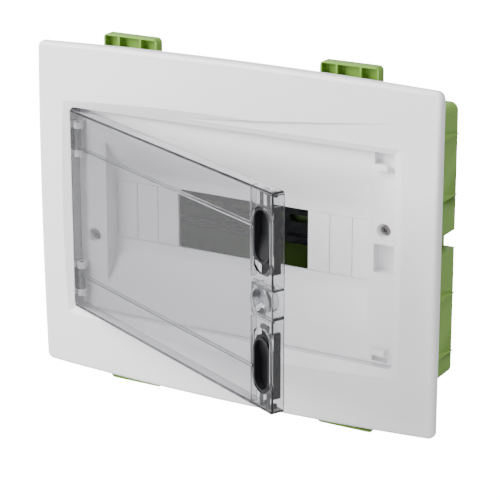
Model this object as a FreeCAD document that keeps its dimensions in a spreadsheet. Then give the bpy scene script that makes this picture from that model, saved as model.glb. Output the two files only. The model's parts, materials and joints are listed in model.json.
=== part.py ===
import FreeCAD, Part
import os
import re

# Recessed breaker panel box for hollow walls, twelve modules wide.
# Row frame: +X to the right, +Y into the wall, +Z up, in millimetres.
# The origin is the centre of the wall plane, the flat the frame's rim rests on.
# Every size lives in the sheet; every solid is bound to it by expressions.

SIZES = [
    ("frame_width", 332, "front frame, left to right"),
    ("frame_height", 259, "front frame at mid-width, bottom to top"),
    ("frame_bow_radius", 4300, "radius of the bowed top and bottom edges"),
    ("frame_crown", 11, "frame's highest point in front of the wall"),
    ("frame_dome_radius", 3500, "radius of the domed front"),
    ("frame_corner", 5.5, "corner radius of the outline"),
    ("frame_edge_round", 3.2, "round along the front rim"),
    ("frame_wall", 2.5, "moulded wall of the frame"),
    ("door_gap_left", -138, "left side of the door opening"),
    ("door_gap_right", 132.2, "right side of the door opening"),
    ("door_gap_half", 79, "half the height of the door opening"),
    ("gap_corner", 4, "corner radius of the door opening"),
    ("bevel_width", 7.5, "bevel around the door opening"),
    ("bevel_back", -5.2, "depth where the bevel meets the straight wall"),
    ("bevel_front", -8.4, "depth where the bevel meets the front"),
    ("scoop_left", -71, "thin end of the wedge-shaped scoop"),
    ("scoop_right", 139, "wide end of the scoop"),
    ("scoop_rise", 22.7, "height of the scoop at its wide end"),
    ("scoop_floor", -7, "depth of the scoop's floor"),
    ("collar_back", 5.6, "back end of the frame's collar"),
    ("cover_front", 1, "front face of the inner cover's strips"),
    ("cover_sheet", 2.6, "thickness of the strips"),
    ("cover_fit", 0.3, "gap between cover and frame"),
    ("recess_half_width", 109.5, "half the width of the recess at its rim"),
    ("recess_half_height", 55, "half the height of the recess at its rim"),
    ("recess_floor_half", 33, "half the height of the recess floor"),
    ("recess_floor", 13.6, "depth of the recess floor"),
    ("recess_wall", 2, "wall of the recess"),
    ("module_pitch", 18, "one module"),
    ("window_half_height", 22.4, "half the height of the module window"),
    ("blank_width", 17.6, "blanking plate, left to right"),
    ("blank_sheet", 2, "blanking plate, thickness"),
    ("blank_edge", 0.4, "round on the plate's front edges"),
    ("hinge_across", -130.5, "hinge axis, X"),
    ("hinge_depth", -3.5, "hinge axis, Y"),
    ("hinge_height", 55, "middle of each hinge, above and below"),
    ("hinge_hook_inner", 8.3, "inner end of each hook, from the hinge middle"),
    ("hinge_hook_outer", 13.3, "outer end of each hook, from the hinge middle"),
    ("hinge_knuckle_radius", 2.7, "door knuckle between the hooks"),
    ("hinge_hook_radius", 3.2, "outer radius of the hook"),
    ("hinge_pin_radius", 1.5, "hinge pin"),
    ("hinge_running_gap", 0.05, "radial clearance of the hinge"),
    ("trough_right", -126, "right side of the hinge trough"),
    ("trough_floor", 5, "floor of the hinge trough"),
    ("screw_across", 121, "cover screws, left and right of the middle"),
    ("screw_height", 20.4, "cover screws, above and below the middle"),
    ("screw_cup_radius", 5.6, "countersunk cup at the front"),
    ("screw_seat", 6, "depth of the screw head's seat"),
    ("screw_head_radius", 3.6, "screw heads"),
    ("screw_radius", 2, "screw shanks"),
    ("socket_left", 113.5, "lock bolt socket, left side"),
    ("socket_right", 129.3, "lock bolt socket, right side"),
    ("socket_half_height", 10.4, "half the height of the socket"),
    ("socket_floor", 9.5, "depth of the socket"),
    ("catch_middle", 119.6, "middle of both door catches"),
    ("catch_width", 12.6, "door catch, left to right"),
    ("catch_ledge_low", 66, "inner face of the catch's ledge"),
    ("catch_ledge_high", 68.6, "outer face of the catch's ledge"),
    ("catch_lip_high", 70.2, "outer end of the catch's lip"),
    ("catch_front", -5.2, "front face of the lip"),
    ("catch_lip_back", -4, "back face of the lip"),
    ("catch_pocket_floor", 7, "depth of the pocket beyond each ledge"),
    ("door_left", -136, "door, left side when closed"),
    ("door_right", 130.8, "door, free edge when closed"),
    ("door_half", 77.5, "half the height of the door"),
    ("door_front", -9.5, "outer face of the closed door"),
    ("door_back", 0.5, "back edge of the door's walls when closed"),
    ("door_wall", 2, "moulded wall of the door"),
    ("door_corner", 2.5, "corner radius of the door"),
    ("door_hinge_round", 3, "round along the door's hinge edge"),
    ("door_edge_round", 1.1, "round along the door's front edges"),
    ("door_rest_angle", 26, "how far the door stands open"),
    ("door_rib_height", 50, "stiffening ribs, above and below the middle"),
    ("latch_middle", 117.5, "middle of the latches and the lock"),
    ("latch_slot_radius", 10, "half the width of the latch slots"),
    ("latch_slot_low", 19, "inner end of a latch slot"),
    ("latch_slot_high", 65, "outer end of a latch slot"),
    ("latch_pad_radius", 9.4, "half the width of the thumb pad"),
    ("latch_pad_low", 26, "inner end of the thumb pad"),
    ("latch_pad_high", 64.4, "outer end of the thumb pad"),
    ("latch_plate_front", -7.2, "slide plate behind the door's face"),
    ("latch_plate_back", -5.6, "back of the slide plate"),
    ("latch_cup_back", -1.6, "back of the thumb dish's cup"),
    ("latch_arm_low", 73.8, "inner face of the hook arms"),
    ("latch_arm_high", 75.2, "outer face of the hook arms"),
    ("latch_nose_low", 72.3, "inner end of the hook noses"),
    ("latch_nose_front", -3.4, "front face of the hook noses"),
    ("latch_nose_back", -1.8, "back face of the hook noses"),
    ("lock_half", 10.6, "half the height of the lock housing"),
    ("lock_hole_radius", 8.8, "round hole for the lock plug"),
    ("lock_plug_radius", 8.6, "lock plug"),
    ("box_half_width", 146.5, "half the width of the back box"),
    ("box_half_height", 102.5, "half the height of the back box"),
    ("box_front", 1, "front edge of the back box"),
    ("box_back", 65, "rear face of the back box"),
    ("box_wall", 2.5, "moulded wall of the back box"),
    ("box_corner", 6, "corner radius of the back box"),
    ("fixing_across", 110, "back fixing holes, left and right of the middle"),
    ("fixing_height", 80, "back fixing holes, above and below the middle"),
    ("fixing_radius", 2.3, "back fixing holes"),
    ("left_groove_front", 12, "front end of the left side groove"),
    ("groove_low", -4.5, "side groove, lower face"),
    ("groove_high", 8.5, "side groove, upper face"),
    ("groove_depth", 8, "side groove, how far it goes in"),
    ("barb_proud", 2.6, "how far the barbs stand out"),
    ("barb_tall", 9, "height of a barb at its front end"),
    ("clamp_across", 90, "clamps, left and right of the middle"),
    ("clamp_half_width", 23, "half the width of a clamp's jaw"),
    ("clamp_top", 135.5, "outer face of the jaws"),
    ("clamp_jaw_low", 117, "inner face of the jaws"),
    ("clamp_front", 5.5, "front of the jaws, drawn up close to the frame"),
    ("clamp_depth", 8, "jaw, front to back"),
    ("clamp_wall", 1.6, "moulded wall of the jaws"),
    ("clamp_round", 3.5, "round on the jaw's outer corners"),
    ("clamp_screw_height", 112.5, "clamp screws, above and below the middle"),
    ("guide_top", 107.5, "outer face of the clamp guides"),
    ("rail_half_length", 112, "half the length of the module rail"),
    ("rail_half_width", 17.5, "half of the 35 mm rail"),
    ("rail_lip", 5, "width of each rail lip"),
    ("rail_front", 50, "front face of the rail's lips"),
    ("rail_depth", 7.5, "depth of the rail"),
    ("rail_screw_across", 106, "rail screws, left and right of the middle"),
    ("rail_sheet", 1, "rail's sheet thickness"),
    ("support_inner", 97, "inner end of a rail support"),
    ("support_outer", 115, "outer end of a rail support"),
]
ALIASES = [row[0] for row in SIZES]
VALUES = {row[0]: row[1] for row in SIZES}

document = FreeCAD.newDocument("breaker_panel_box")
sheet = document.addObject("Spreadsheet::Sheet", "Sizes")
for line, (alias, value, note) in enumerate(SIZES, 1):
    sheet.set("A%d" % line, alias)
    sheet.set("B%d" % line, str(value))
    sheet.set("C%d" % line, note)
    sheet.setAlias("B%d" % line, alias)
document.recompute()

AXIS_TURNS = {
    "x": FreeCAD.Rotation(FreeCAD.Vector(0, 1, 0), 90),
    "y": FreeCAD.Rotation(FreeCAD.Vector(1, 0, 0), -90),
    "z": FreeCAD.Rotation(),
}


def formula(text):
    """The text with every size name pointing at the sheet."""
    word = r"[a-z]+(?:_[a-z]+)+"
    return re.sub(word, lambda m: "Sizes." + m.group(0) if m.group(0) in ALIASES else m.group(0), str(text))


def bind(thing, path, text):
    thing.setExpression(path, formula(text))


def place(thing, x, y, z, turn=None):
    """Puts a primitive's own origin at three formulas."""
    if turn is not None:
        thing.Placement = FreeCAD.Placement(FreeCAD.Vector(), turn)
    bind(thing, "Placement.Base.x", x)
    bind(thing, "Placement.Base.y", y)
    bind(thing, "Placement.Base.z", z)


def block(name, x, y, z):
    """A box between low and high formulas on each axis."""
    made = document.addObject("Part::Box", name)
    for path, (low, high) in zip(("Length", "Width", "Height"), (x, y, z)):
        bind(made, path, "(%s) - (%s)" % (high, low))
    place(made, x[0], y[0], z[0])
    return made


def rod(name, axis, centre, radius, span):
    """A cylinder along an axis; centre gives the two other coordinates, in X, Y, Z order."""
    made = document.addObject("Part::Cylinder", name)
    bind(made, "Radius", radius)
    bind(made, "Height", "(%s) - (%s)" % (span[1], span[0]))
    spots = {
        "x": (span[0], centre[0], centre[1]),
        "y": (centre[0], span[0], centre[1]),
        "z": (centre[0], centre[1], span[0]),
    }[axis]
    place(made, *spots, turn=AXIS_TURNS[axis])
    return made


def cone(name, centre, radii, span):
    """A cone along Y from the first radius to the second."""
    made = document.addObject("Part::Cone", name)
    bind(made, "Radius1", radii[0])
    bind(made, "Radius2", radii[1])
    bind(made, "Height", "(%s) - (%s)" % (span[1], span[0]))
    place(made, centre[0], span[0], centre[1], turn=AXIS_TURNS["y"])
    return made


def wedge(name, y, near, far):
    """A tapered block along Y; near and far are (x low, x high, z low, z high)."""
    made = document.addObject("Part::Wedge", name)
    rows = [("Ymin", y[0]), ("Ymax", y[1])]
    rows += zip(("Xmin", "Xmax", "Zmin", "Zmax"), near)
    rows += zip(("X2min", "X2max", "Z2min", "Z2max"), far)
    for path, text in rows:
        bind(made, path, text)
    return made


def join(name, pieces):
    if len(pieces) == 1:
        return pieces[0]
    made = document.addObject("Part::MultiFuse", name)
    made.Shapes = pieces
    made.Refine = True
    return made


def shared(name, pieces):
    made = document.addObject("Part::MultiCommon", name)
    made.Shapes = pieces
    return made


def cut(name, base, tools):
    made = document.addObject("Part::Cut", name)
    made.Base = base
    made.Tool = join(name + "_tools", tools)
    made.Refine = True
    return made


def group(name, pieces):
    """Separate solids kept in one node."""
    made = document.addObject("Part::Compound", name)
    made.Links = pieces
    return made


def rounded(name, base, radius, wanted):
    """Rounds the edges for which wanted(edge) is true."""
    document.recompute()
    size = VALUES[radius]
    made = document.addObject("Part::Fillet", name)
    made.Base = base
    made.Edges = [(i, size, size) for i, edge in enumerate(base.Shape.Edges, 1) if wanted(edge)]
    return made


def along_depth(edge):
    """True for a straight edge parallel to Y."""
    if edge.Curve.TypeId != "Part::GeomLine":
        return False
    return abs(edge.Curve.Direction.y) > 0.999


def both(sign, low, high):
    """A pair of formulas on the given side of the middle."""
    if sign > 0:
        return (low, high)
    return ("-(%s)" % high, "-(%s)" % low)


def signed(sign, text):
    return str(text) if sign > 0 else "-(%s)" % text


def stadium(name, across, ends, radius, depth):
    """A round-ended block: across is its middle in X, ends are its lowest and highest Z."""
    low = "(%s) + (%s)" % (ends[0], radius)
    high = "(%s) - (%s)" % (ends[1], radius)
    sides = ("(%s) - (%s)" % (across, radius), "(%s) + (%s)" % (across, radius))
    return join(name, [
        block(name + "_middle", sides, depth, (low, high)),
        rod(name + "_low_end", "y", (across, low), radius, depth),
        rod(name + "_high_end", "y", (across, high), radius, depth),
    ])


# ---------------------------------------------------------------- back box

def make_back_box():
    """Green recessed box: side grooves, barbs, clamp guides, screw pillars and knock-outs."""
    side = ("-box_half_width", "box_half_width")
    height = ("-box_half_height", "box_half_height")
    outer = block("box_outer", side, ("box_front", "box_back"), height)
    outer = rounded("box_outer_round", outer, "box_corner", along_depth)
    notches = []
    liners = []
    for sign, word in ((-1, "left"), (1, "right")):
        start = "left_groove_front" if sign < 0 else "box_front - 1"
        notches.append(block(
            "box_groove_" + word,
            both(sign, "box_half_width - groove_depth", "box_half_width + 1"),
            (start, "box_back + 1"),
            ("groove_low", "groove_high"),
        ))
        liners.append(block(
            "box_groove_liner_" + word,
            both(sign, "box_half_width - groove_depth - box_wall", "box_half_width + 1"),
            (start + " - box_wall", "box_back + 1"),
            ("groove_low - box_wall", "groove_high + box_wall"),
        ))
    body = cut("box_body", outer, notches)
    inside = block(
        "box_inside",
        ("-box_half_width + box_wall", "box_half_width - box_wall"),
        ("box_front - 1", "box_back - box_wall"),
        ("-box_half_height + box_wall", "box_half_height - box_wall"),
    )
    inside = rounded("box_inside_round", inside, "door_corner", along_depth)
    shell = cut("box_shell", body, [cut("box_room", inside, liners)])

    added = [shell]
    for sign, word in ((-1, "left"), (1, "right")):
        for count, level in enumerate((80.5, 36, -38.5, -83), 1):
            added.append(barb("box_barb_%s_%d" % (word, count), sign, level))
    for across, high, word in clamp_places():
        added += clamp_guide(across, high, word)
    for sign, word in ((-1, "left"), (1, "right")):
        middle = (signed(sign, "screw_across"), signed(sign, "screw_height"))
        added.append(rod("box_pillar_" + word, "y", middle, "4.5", ("9", "box_back - 1")))
    solid = join("box_joined", added)

    taken = []
    for sign, word in ((-1, "left"), (1, "right")):
        middle = (signed(sign, "screw_across"), signed(sign, "screw_height"))
        taken.append(rod("box_pillar_hole_" + word, "y", middle, "screw_radius + 0.1", ("8", "30")))
        for end, level in (("low", "-9"), ("high", "9")):
            spot = (signed(sign, "support_inner + 9"), level)
            taken.append(rod("box_peg_hole_%s_%s" % (word, end), "y", spot, "2.6", ("55", "box_back + 1")))
    for across, high, word in clamp_places():
        spot = (signed(across, "clamp_across"), signed(high, "clamp_screw_height"))
        taken.append(rod("box_ear_hole_" + word, "y", spot, "screw_radius + 0.2", ("0", "6")))
    for count, (across, level) in enumerate(((-1, 1), (1, 1), (-1, -1), (1, -1)), 1):
        spot = (signed(across, "fixing_across"), signed(level, "fixing_height"))
        taken.append(rod("box_fixing_%d" % count, "y", spot, "fixing_radius", ("55", "box_back + 1")))
    taken += knock_outs()
    return cut("back_box", solid, taken)


def barb(name, sign, level):
    """A barb: flat below, its top a ramp that falls outwards and to the back."""
    made = document.addObject("Part::Wedge", name)
    depth = ("10", "box_back - 1.5")
    near = ("-(%s)" % depth[1], "-%s" % depth[0]) if sign > 0 else depth
    far = ("-%s - 2" % depth[0], "-%s" % depth[0]) if sign > 0 else (depth[0], depth[0] + " + 2")
    rows = [("Xmin", "-1"), ("Xmax", "barb_proud"), ("X2min", "-1"), ("X2max", "0.05")]
    rows += [("Ymin", "0"), ("Ymax", "barb_tall")]
    rows += [("Zmin", near[0]), ("Zmax", near[1]), ("Z2min", far[0]), ("Z2max", far[1])]
    for path, text in rows:
        bind(made, path, text)
    # The wedge's X, Y, Z run outwards, up, and along the depth.
    turn = FreeCAD.Rotation(
        FreeCAD.Vector(sign, 0, 0), FreeCAD.Vector(0, 0, 1), FreeCAD.Vector(0, -sign, 0), "XYZ",
    )
    place(made, signed(sign, "box_half_width"), "0", level, turn=turn)
    return made


def clamp_places():
    """Sign across, sign of height and name of each of the four clamps."""
    return (
        (-1, 1, "top_left"),
        (1, 1, "top_right"),
        (-1, -1, "bottom_left"),
        (1, -1, "bottom_right"),
    )


def clamp_guide(across, high, word):
    """T-shaped guide on the box for one clamp, and the ear that holds its screw."""
    middle = signed(across, "clamp_across")
    stem = ("%s - 4" % middle, "%s + 4" % middle)
    head = ("%s - 6.5" % middle, "%s + 6.5" % middle)
    length = ("box_front + 0.2", "60")
    return [
        block("guide_stem_" + word, stem, length, both(high, "box_half_height - 1", "guide_top - 2")),
        block("guide_head_" + word, head, length, both(high, "guide_top - 2.5", "guide_top")),
        block("guide_ear_" + word, head, ("box_front + 0.2", "4"), both(high, "box_half_height - 1", "119")),
    ]


def knock_outs():
    """Thin rings pressed into the walls where cable entries are broken out."""
    rings = []
    for high, word in ((1, "top"), (-1, "bottom")):
        for count, across in enumerate((-40, 0, 40), 1):
            name = "knock_out_%s_%d" % (word, count)
            span = both(high, "box_half_height - 0.9", "box_half_height + 1")
            outer = rod(name + "_outer", "z", (str(across), "36"), "12.5", span)
            inner = rod(name + "_inner", "z", (str(across), "36"), "11.6", span)
            rings.append(cut(name, outer, [inner]))
    for count, (across, level) in enumerate(((-60, 55), (60, 55), (-60, -55), (60, -55)), 1):
        name = "knock_out_back_%d" % count
        span = ("box_back - 0.9", "box_back + 1")
        outer = rod(name + "_outer", "y", (str(across), str(level)), "14.5", span)
        inner = rod(name + "_inner", "y", (str(across), str(level)), "13.6", span)
        rings.append(cut(name, outer, [inner]))
    return rings


# ---------------------------------------------------------------- clamps

def make_clamp(across, high, word):
    """One plasterboard clamp: an open-fronted jaw with two ribs on a foot that rides the guide."""
    middle = signed(across, "clamp_across")
    jaw_side = ("%s - clamp_half_width" % middle, "%s + clamp_half_width" % middle)
    deep = ("clamp_front", "clamp_front + clamp_depth")
    jaw = block("jaw_" + word, jaw_side, deep, both(high, "clamp_jaw_low", "clamp_top"))
    top = VALUES["clamp_top"] * high
    jaw = rounded(
        "jaw_round_" + word, jaw, "clamp_round",
        lambda edge: along_depth(edge) and abs(edge.CenterOfMass.z - top) < 0.1,
    )
    foot = block(
        "foot_" + word,
        ("%s - 15" % middle, "%s + 15" % middle),
        ("clamp_front + 2", "clamp_front + clamp_depth"),
        both(high, "box_half_height + 0.5", "clamp_jaw_low + 1"),
    )
    pockets = []
    for count, (low, far) in enumerate(((-21.4, -10.6), (-9, 8), (9.6, 21.4)), 1):
        pockets.append(block(
            "pocket_%s_%d" % (word, count),
            ("%s + (%s)" % (middle, low), "%s + (%s)" % (middle, far)),
            ("clamp_front - 1", "clamp_front + clamp_depth - clamp_wall"),
            both(high, "clamp_jaw_low + clamp_wall", "clamp_top - clamp_wall"),
        ))
    stem_gap = block(
        "foot_stem_gap_" + word,
        ("%s - 4.3" % middle, "%s + 4.3" % middle),
        ("0", "60"),
        both(high, "box_half_height", "guide_top"),
    )
    head_gap = block(
        "foot_head_gap_" + word,
        ("%s - 6.8" % middle, "%s + 6.8" % middle),
        ("0", "60"),
        both(high, "guide_top - 2.8", "guide_top + 0.3"),
    )
    hole = rod(
        "foot_hole_" + word, "y",
        (middle, signed(high, "clamp_screw_height")),
        "screw_radius + 0.08", ("0", "60"),
    )
    body = join("clamp_body_" + word, [jaw, foot])
    return cut("clamp_" + word, body, pockets + [stem_gap, head_gap, hole])


def make_clamp_screws():
    """Four long screws that draw the clamps forward."""
    made = []
    for across, high, word in clamp_places():
        spot = (signed(across, "clamp_across"), signed(high, "clamp_screw_height"))
        made.append(cross_screw("clamp_screw_" + word, spot, "box_front + 0.2", "2.2", "4", "52"))
    return group("clamp_screws", made)


def cross_screw(name, spot, seat, head_depth, head_radius, tip):
    """A pan-head screw along Y with a cross recess; seat is the plane under its head."""
    front = "(%s) - (%s)" % (seat, head_depth)
    head = cone(
        name + "_head", spot,
        ("(%s) - 0.7" % head_radius, head_radius),
        (front, "(%s) - 1" % seat),
    )
    rim = rod(name + "_rim", "y", spot, head_radius, ("(%s) - 1" % seat, seat))
    shank = rod(name + "_shank", "y", spot, "screw_radius", ("(%s) - 0.5" % seat, "(%s) - 2" % tip))
    point = cone(name + "_point", spot, ("screw_radius", "0.6"), ("(%s) - 2" % tip, tip))
    body = join(name + "_body", [head, rim, shank, point])
    slots = []
    for long, wide, turn in (("1.9", "0.45", "level"), ("0.45", "1.9", "upright")):
        slots.append(block(
            "%s_slot_%s" % (name, turn),
            ("(%s) - %s" % (spot[0], long), "(%s) + %s" % (spot[0], long)),
            ("(%s) - 1" % front, "(%s) + 1.3" % front),
            ("(%s) - %s" % (spot[1], wide), "(%s) + %s" % (spot[1], wide)),
        ))
    return cut(name, body, slots)


# ---------------------------------------------------------------- front frame

def frame_outline(name, inset, depth):
    """The bowed outline of the frame as a block along Y, drawn in by inset."""
    side = "frame_width / 2 - (%s)" % inset
    plate = block(name + "_plate", ("-(%s)" % side, side), depth, ("-frame_height", "frame_height"))
    bow = "frame_bow_radius - (%s)" % inset
    top = rod(name + "_top_bow", "y", ("0", "frame_height / 2 - frame_bow_radius"), bow, depth)
    bottom = rod(name + "_bottom_bow", "y", ("0", "frame_bow_radius - frame_height / 2"), bow, depth)
    return shared(name, [plate, top, bottom])


def front_ball(name, inset):
    """The very large ball whose skin is the domed front."""
    made = document.addObject("Part::Sphere", name)
    bind(made, "Radius", "frame_dome_radius - (%s)" % inset)
    place(made, "0", "frame_dome_radius - frame_crown", "0")
    return made


def make_front_frame():
    """White frame: domed front, bevelled door opening, scoop above it, hollow back."""
    outline = frame_outline("frame_blank", "0", ("-frame_crown - 2", "0"))
    outline = rounded("frame_blank_round", outline, "frame_corner", along_depth)
    domed = shared("frame_domed", [outline, front_ball("frame_ball", "0")])
    rim = VALUES["frame_width"] / 2 - 1

    def front_rim(edge):
        box = edge.BoundBox
        outside = abs(box.Center.x) > rim - 9 or abs(box.Center.z) > 118
        return outside and box.YMax < -0.5 and not along_depth(edge)

    domed = rounded("frame_soft", domed, "frame_edge_round", front_rim)

    hollow = shared("frame_hollow", [
        frame_outline("frame_hollow_blank", "frame_wall", ("-frame_crown", "1")),
        front_ball("frame_hollow_ball", "frame_wall"),
    ])
    core = block(
        "frame_core",
        ("door_gap_left - 11", "door_gap_right + 11"),
        ("-frame_crown - 1", "2"),
        ("-door_gap_half - 11", "door_gap_half + scoop_rise + 5"),
    )
    shell = cut("frame_shell", domed, [cut("frame_hollow_ring", hollow, [core])])
    collar = block(
        "frame_collar",
        ("door_gap_left - 2", "door_gap_right + 2"),
        ("-3", "collar_back"),
        ("-door_gap_half - 2", "door_gap_half + 2"),
    )
    body = join("frame_body", [shell, collar])

    gap = ("door_gap_left", "door_gap_right", "-door_gap_half", "door_gap_half")
    slope = "bevel_width / (bevel_back - bevel_front)"
    reach = "(%s) * (bevel_back + frame_crown + 1)" % slope
    wide = (
        "door_gap_left - (%s)" % reach, "door_gap_right + (%s)" % reach,
        "-door_gap_half - (%s)" % reach, "door_gap_half + (%s)" % reach,
    )
    bevel = wedge("frame_bevel", ("-frame_crown - 1", "bevel_back"), wide, gap)
    bevel = rounded("frame_bevel_round", bevel, "gap_corner", lambda edge: edge.BoundBox.YLength > 1)
    opening = block("frame_opening", gap[:2], ("-frame_crown - 2", "cover_front"), gap[2:])
    opening = rounded("frame_opening_round", opening, "gap_corner", along_depth)
    collar_room = block("frame_collar_room", gap[:2], ("cover_front - 0.01", "collar_back + 1"), gap[2:])
    solid = cut("frame_open", body, [bevel, opening, collar_room, scoop()])

    ledges = [solid]
    for high, word in ((1, "top"), (-1, "bottom")):
        ledges.append(block(
            "frame_ledge_" + word,
            ("-120", "108"),
            ("cover_front + cover_sheet", "collar_back"),
            both(high, "door_gap_half - 5", "door_gap_half + 1"),
        ))
    return join("front_frame", ledges)


def scoop():
    """Shallow finger scoop that widens to the right above the door."""
    made = document.addObject("Part::Wedge", "frame_scoop")
    rows = (
        ("Ymin", "0"), ("Ymax", "scoop_right - scoop_left"),
        ("Xmin", "-4"), ("Xmax", "1"),
        ("X2min", "-4"), ("X2max", "scoop_rise"),
        ("Zmin", "0"), ("Zmax", "12"),
        ("Z2min", "0"), ("Z2max", "12"),
    )
    for path, text in rows:
        bind(made, path, text)
    # Wedge axes X, Y, Z are laid along the row's Z, X and Y.
    turn = FreeCAD.Rotation(FreeCAD.Vector(0, 0, 1), FreeCAD.Vector(1, 0, 0), FreeCAD.Vector(0, 1, 0), "XYZ")
    place(made, "scoop_left", "scoop_floor - 12", "door_gap_half", turn=turn)
    right_top = (VALUES["scoop_right"], VALUES["door_gap_half"] + VALUES["scoop_rise"])

    def wide_corner(edge):
        spot = edge.CenterOfMass
        return along_depth(edge) and abs(spot.x - right_top[0]) < 0.5 and abs(spot.z - right_top[1]) < 0.5

    return rounded("frame_scoop_round", made, "box_corner", wide_corner)


# ---------------------------------------------------------------- inner cover

def make_inner_cover():
    """White cover: flat strips around a recess with the module window in its floor."""
    back = "cover_front + cover_sheet"
    plate = block(
        "cover_plate",
        ("door_gap_left + cover_fit", "door_gap_right - cover_fit"),
        ("cover_front", back),
        ("-door_gap_half + cover_fit", "door_gap_half - cover_fit"),
    )
    basin = wedge(
        "cover_basin",
        ("cover_front", "recess_floor + recess_wall"),
        recess_sides("recess_wall"),
        recess_sides("recess_wall", "recess_floor_half"),
    )
    trough = block(
        "cover_trough",
        ("door_gap_left + cover_fit", "trough_right + recess_wall"),
        ("cover_front", "trough_floor + recess_wall"),
        ("-door_gap_half + cover_fit", "door_gap_half - cover_fit"),
    )
    socket = block(
        "cover_socket",
        ("socket_left - recess_wall", "socket_right + recess_wall"),
        ("cover_front", "socket_floor + recess_wall"),
        ("-socket_half_height - recess_wall", "socket_half_height + recess_wall"),
    )
    added = [plate, basin, trough, socket]
    for sign, word in ((-1, "left"), (1, "right")):
        middle = (signed(sign, "screw_across"), signed(sign, "screw_height"))
        added.append(rod("cover_boss_" + word, "y", middle, "7", ("cover_front", "9")))
    left, right = catch_sides()
    for high, word in ((1, "upper"), (-1, "lower")):
        added.append(block(
            "cover_catch_box_" + word,
            (left + " - 1.5", right + " + 1.5"),
            ("cover_front", "catch_pocket_floor + 1.5"),
            both(high, "catch_ledge_low", "door_gap_half - cover_fit"),
        ))
    solid = join("cover_solid", added)

    front = "cover_front - 1"
    slope = "(recess_half_height - recess_floor_half) / (recess_floor - cover_front)"
    taken = [
        wedge(
            "cover_recess",
            (front, "recess_floor"),
            ("-recess_half_width", "recess_half_width",
             "-recess_half_height - (%s)" % slope, "recess_half_height + (%s)" % slope),
            ("-recess_half_width", "recess_half_width", "-recess_floor_half", "recess_floor_half"),
        ),
        block(
            "cover_window",
            ("-6 * module_pitch", "6 * module_pitch"),
            ("recess_floor - 1", "recess_floor + recess_wall + 1"),
            ("-window_half_height", "window_half_height"),
        ),
        block(
            "cover_trough_room",
            ("door_gap_left", "trough_right"),
            (front, "trough_floor"),
            ("-door_gap_half", "door_gap_half"),
        ),
        block(
            "cover_socket_room",
            ("socket_left", "socket_right"),
            (front, "socket_floor"),
            ("-socket_half_height", "socket_half_height"),
        ),
    ]
    for high, word in ((1, "upper"), (-1, "lower")):
        taken.append(block(
            "cover_catch_pocket_" + word, (left, right),
            (front, "catch_pocket_floor"),
            both(high, "catch_ledge_high", "door_gap_half - 2"),
        ))
    for sign, word in ((-1, "left"), (1, "right")):
        middle = (signed(sign, "screw_across"), signed(sign, "screw_height"))
        taken.append(cone("cover_cup_" + word, middle, ("screw_cup_radius + 0.3", "screw_head_radius + 0.4"),
                          ("cover_front - 1", "screw_seat")))
        taken.append(rod("cover_hole_" + word, "y", middle, "screw_radius + 0.3", ("0", "12")))
    opened = cut("cover_opened", solid, taken)

    finished = [opened]
    for count in range(6):
        left = "socket_left + 2.2 + %s" % (count * 2.1)
        finished.append(block(
            "cover_socket_rib_%d" % (count + 1),
            (left, left + " + 0.6"),
            ("socket_floor - 0.5", "socket_floor + 0.5"),
            ("-socket_half_height", "socket_half_height"),
        ))
    for high, word in ((1, "upper"), (-1, "lower")):
        finished += door_catch(high, word)
        finished += hinge_hook(high, word)
    whole = join("cover_whole", finished)
    bores = []
    for high, word in ((1, "upper"), (-1, "lower")):
        bores.append(rod(
            "hook_bore_" + word, "z", ("hinge_across", "hinge_depth"),
            "hinge_pin_radius + hinge_running_gap",
            both(high, "hinge_height - hinge_hook_outer - 1", "hinge_height + hinge_hook_outer + 1"),
        ))
    return cut("inner_cover", whole, bores)


def recess_sides(margin, floor=None):
    """Recess outline with its wall added, at the rim or at the floor."""
    tall = floor or "recess_half_height"
    return (
        "-recess_half_width - %s" % margin, "recess_half_width + %s" % margin,
        "-%s - %s" % (tall, margin), "%s + %s" % (tall, margin),
    )


def catch_sides():
    return ("catch_middle - catch_width / 2", "catch_middle + catch_width / 2")


def door_catch(high, word):
    """Ledge with an upturned lip that a latch hooks behind."""
    side = catch_sides()
    ledge = block(
        "catch_ledge_" + word, side,
        ("catch_front", "cover_front + 1"),
        both(high, "catch_ledge_low", "catch_ledge_high"),
    )
    lip = block(
        "catch_lip_" + word, side,
        ("catch_front", "catch_lip_back"),
        both(high, "catch_ledge_high - 0.5", "catch_lip_high"),
    )
    return [ledge, lip]


def hinge_hook(high, word):
    """Two round hooks on stems that hold the ends of one hinge pin."""
    pieces = []
    for end, start, stop in (("inner", "-hinge_hook_outer", "-hinge_hook_inner"),
                             ("outer", "hinge_hook_inner", "hinge_hook_outer")):
        span = both(high, "hinge_height + " + start, "hinge_height + " + stop)
        pieces.append(block(
            "hook_stem_%s_%s" % (word, end),
            ("hinge_across - 2", "hinge_across + 2"),
            ("hinge_depth", "trough_floor + 1"),
            span,
        ))
        pieces.append(rod(
            "hook_eye_%s_%s" % (word, end), "z", ("hinge_across", "hinge_depth"), "hinge_hook_radius", span,
        ))
    return pieces


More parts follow.
